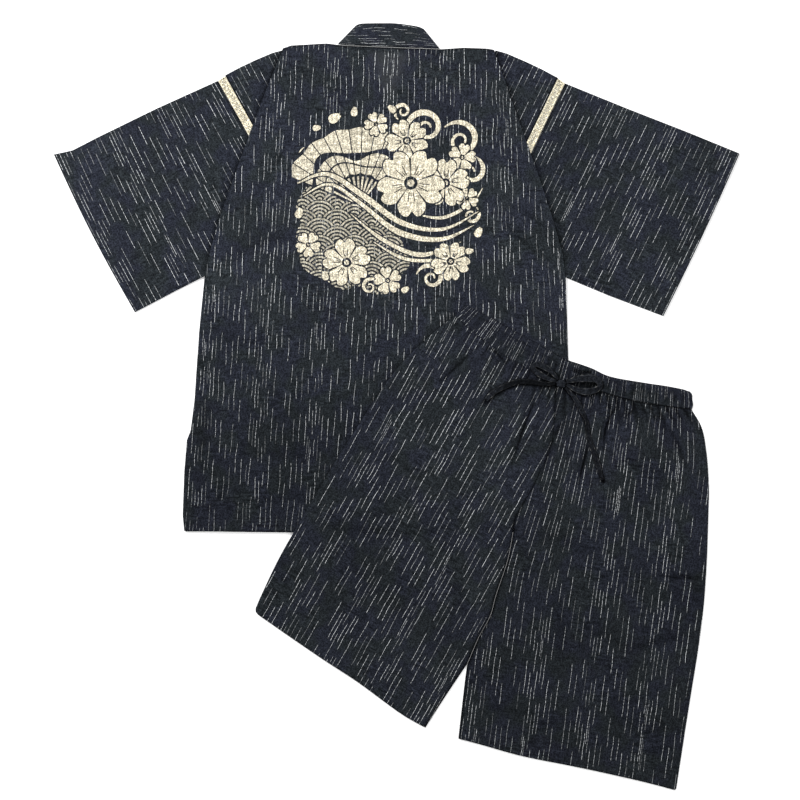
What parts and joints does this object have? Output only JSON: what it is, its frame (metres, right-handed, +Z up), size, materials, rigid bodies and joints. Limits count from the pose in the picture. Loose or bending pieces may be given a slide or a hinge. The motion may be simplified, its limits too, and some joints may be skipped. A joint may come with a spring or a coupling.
{
  "type": "jinbei set",
  "caption": "Short-sleeved wrap jacket laid back side up with its drawstring shorts laid front side up over one lower corner.",
  "frame": {"origin": "middle of the set's outline, on the surface it lies on", "axes": "+Z up from the surface, +Y from the hems towards the collar, +X towards the wearer's right side of the jacket"},
  "size_m": [1.0705, 1.1981, 0.0138],
  "materials": {
    "jacket_back_cloth": "matte crinkled cotton with fine vertical dashes",
    "jacket_front_left_cloth": "matte crinkled cotton with fine dashes",
    "jacket_front_right_cloth": "matte crinkled cotton with fine dashes",
    "shoulder_fold_left_cloth": "matte crinkled cotton with fine dashes",
    "shoulder_fold_right_cloth": "matte crinkled cotton with fine dashes",
    "collar_back_cloth": "matte crinkled cotton with fine dashes",
    "collar_front_left_cloth": "matte crinkled cotton with fine dashes",
    "collar_front_right_cloth": "matte crinkled cotton with fine dashes",
    "sleeve_left_cloth": "matte crinkled cotton with fine dashes",
    "sleeve_right_cloth": "matte crinkled cotton with fine dashes",
    "armhole_lace_left_cloth": "cream cotton insertion lace",
    "armhole_lace_right_cloth": "cream cotton insertion lace",
    "shorts_front_left_cloth": "matte crinkled cotton with fine dashes",
    "shorts_front_right_cloth": "matte crinkled cotton with fine dashes",
    "shorts_back_left_cloth": "matte crinkled cotton with fine dashes",
    "shorts_back_right_cloth": "matte crinkled cotton with fine dashes",
    "waistband_cloth": "matte crinkled cotton, gathered",
    "tie_knot_cloth": "matte folded cotton tie",
    "tie_loop_left_cloth": "matte folded cotton tie",
    "tie_loop_right_cloth": "matte folded cotton tie",
    "tie_tail_left_cloth": "matte folded cotton tie",
    "tie_tail_right_cloth": "matte folded cotton tie"
  },
  "bodies": {
    "root": {"jacket_back": "jacket_back_cloth", "jacket_front_left": "jacket_front_left_cloth", "jacket_front_right": "jacket_front_right_cloth", "shoulder_fold_left": "shoulder_fold_left_cloth", "shoulder_fold_right": "shoulder_fold_right_cloth", "collar_back": "collar_back_cloth", "collar_front_left": "collar_front_left_cloth", "collar_front_right": "collar_front_right_cloth", "sleeve_left": "sleeve_left_cloth", "sleeve_right": "sleeve_right_cloth", "armhole_lace_left": "armhole_lace_left_cloth", "armhole_lace_right": "armhole_lace_right_cloth", "shorts_front_left": "shorts_front_left_cloth", "shorts_front_right": "shorts_front_right_cloth", "shorts_back_left": "shorts_back_left_cloth", "shorts_back_right": "shorts_back_right_cloth", "waistband": "waistband_cloth", "tie_knot": "tie_knot_cloth", "tie_loop_left": "tie_loop_left_cloth", "tie_loop_right": "tie_loop_right_cloth", "tie_tail_left": "tie_tail_left_cloth", "tie_tail_right": "tie_tail_right_cloth"}
  },
  "joints": []
}
